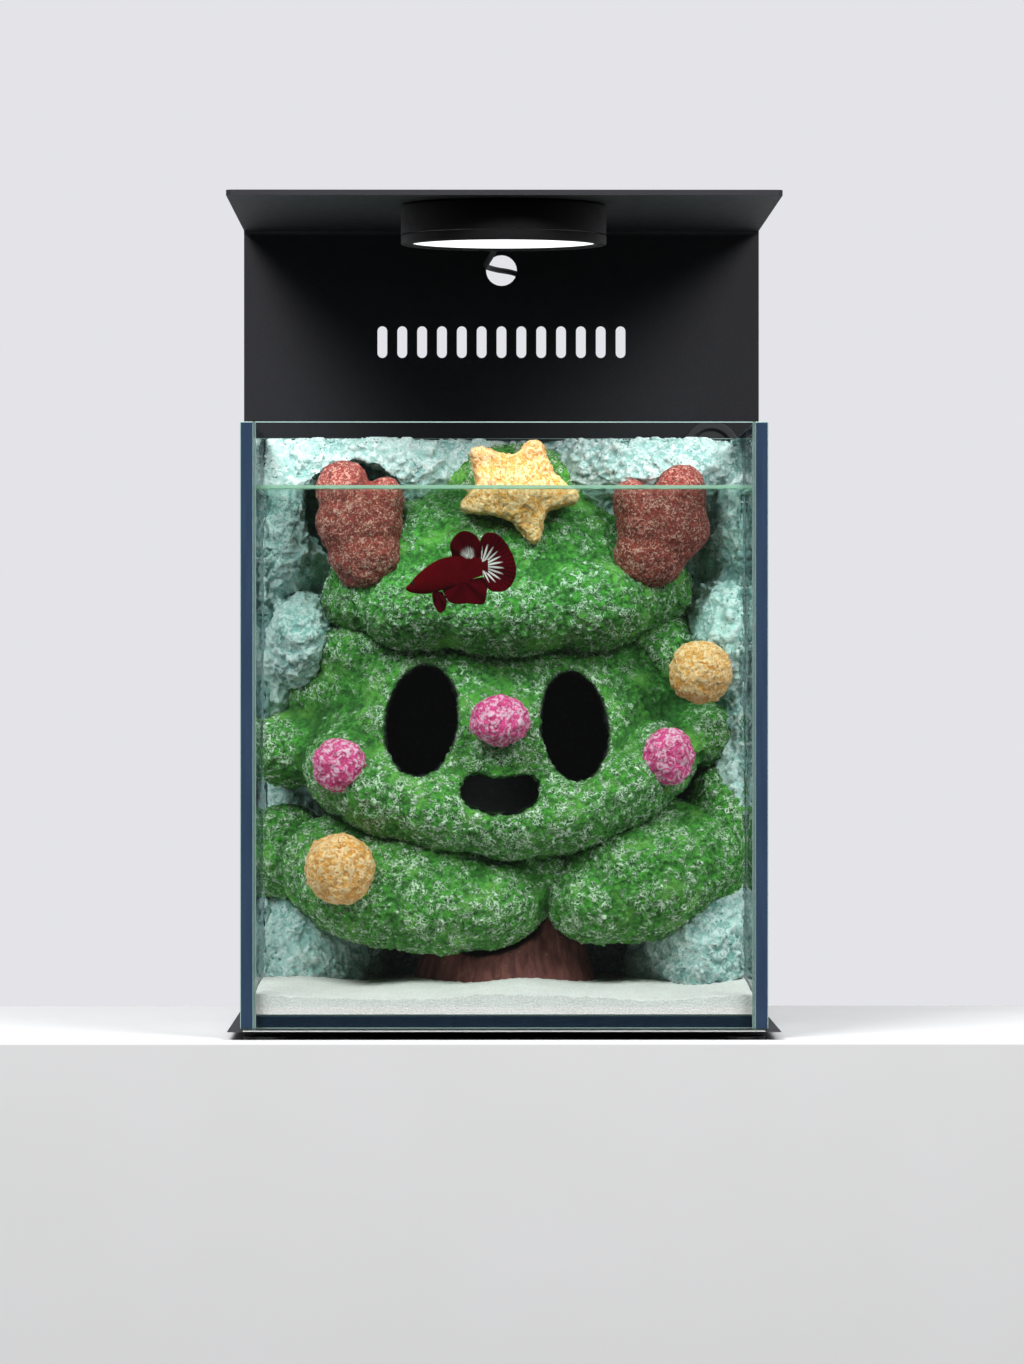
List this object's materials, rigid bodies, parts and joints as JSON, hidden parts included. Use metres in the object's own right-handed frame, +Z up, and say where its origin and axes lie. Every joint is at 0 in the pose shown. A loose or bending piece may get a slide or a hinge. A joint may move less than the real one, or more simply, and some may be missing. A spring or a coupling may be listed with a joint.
{
  "type": "aquarium on stand",
  "caption": "Rimless glass tank with a sculpted Christmas-tree insert, on a folded black metal stand whose canopy holds a round magnetic lamp over the water.",
  "frame": {"origin": "on the surface it stands on, below the middle of the stand", "axes": "+Z up, -Y towards the front pane, +X to the right seen from the front"},
  "size_m": [0.21, 0.2698, 0.321],
  "materials": {
    "black_steel": "fine-textured matte black powder coat",
    "black_rubber": "matte moulded rubber",
    "pad": "translucent whitish foam",
    "glass": "clear polished float glass, faint green tint, dark blue-green edges",
    "silicone": "clear set silicone",
    "sand": "fine white sand",
    "rock_paint": "rough moulded rock, pale teal with white dry-brushing",
    "tree_green": "rough moulded surface, green with white dry-brushing on the rolls",
    "trunk_brown": "rough moulded surface, dark red-brown",
    "antler_red": "rough moulded surface, dusty red-brown with pale flecks",
    "gold_paint": "rough moulded surface, yellow ochre with cream dry-brushing",
    "pink_paint": "rough moulded surface, pink with white dry-brushing",
    "lamp_black": "satin black",
    "lens": "opal, lit from behind",
    "board": "white solder mask",
    "bright_metal": "nickel plated",
    "lead_black": "soft matte jacket"
  },
  "bodies": {
    "stand": {"foot_front_left": "pad", "foot_front_right": "pad", "foot_rear_left": "pad", "foot_rear_right": "pad", "levelling_mat": "pad", "panel_plug": "black_rubber", "stand_frame": "black_steel", "lead_hanging": "lead_black", "lead_coil": "lead_black", "lead_tail": "lead_black", "lead_strap": "black_rubber", "plug_body": "lead_black", "plug_shell": "bright_metal", "plug_tongue": "board"},
    "tank": {"antler_left": "antler_red", "antler_right": "antler_red", "bauble_gold_left": "gold_paint", "bauble_gold_right": "gold_paint", "bond_bottom": "silicone", "bond_front_left": "silicone", "bond_front_right": "silicone", "bond_rear_left": "silicone", "bond_rear_right": "silicone", "boulder_left": "rock_paint", "cheek_left": "pink_paint", "cheek_right": "pink_paint", "glass_back": "glass", "glass_bottom": "glass", "glass_front": "glass", "glass_left": "glass", "glass_right": "glass", "nose": "pink_paint", "rock_back": "rock_paint", "rock_foot_left": "rock_paint", "rock_foot_right": "rock_paint", "rock_left_column": "rock_paint", "rock_right_column": "rock_paint", "rock_top_left": "rock_paint", "rock_top_right": "rock_paint", "sand_bed": "sand", "star": "gold_paint", "tree_face": "tree_green", "tree_skirt_left": "tree_green", "tree_skirt_right": "tree_green", "tree_top": "tree_green", "tree_trunk": "trunk_brown"},
    "lamp": {"lamp_bezel": "lamp_black", "lamp_diffuser": "lens", "lamp_housing": "lamp_black", "lamp_led_board": "board", "lamp_magnet_1": "bright_metal", "lamp_magnet_2": "bright_metal", "lamp_magnet_3": "bright_metal", "lamp_screw_1": "bright_metal", "lamp_screw_2": "bright_metal", "lamp_screw_3": "bright_metal", "lamp_strain_relief": "lead_black"}
  },
  "joints": [
    {"name": "lamp_pull_off", "type": "slide", "parent": "stand", "child": "lamp", "axis": [0, 0, -1], "range_m": [0, 0.06]},
    {"name": "tank_slide_out", "type": "slide", "parent": "stand", "child": "tank", "axis": [0, -1, 0], "range_m": [0, 0.2]}
  ]
}
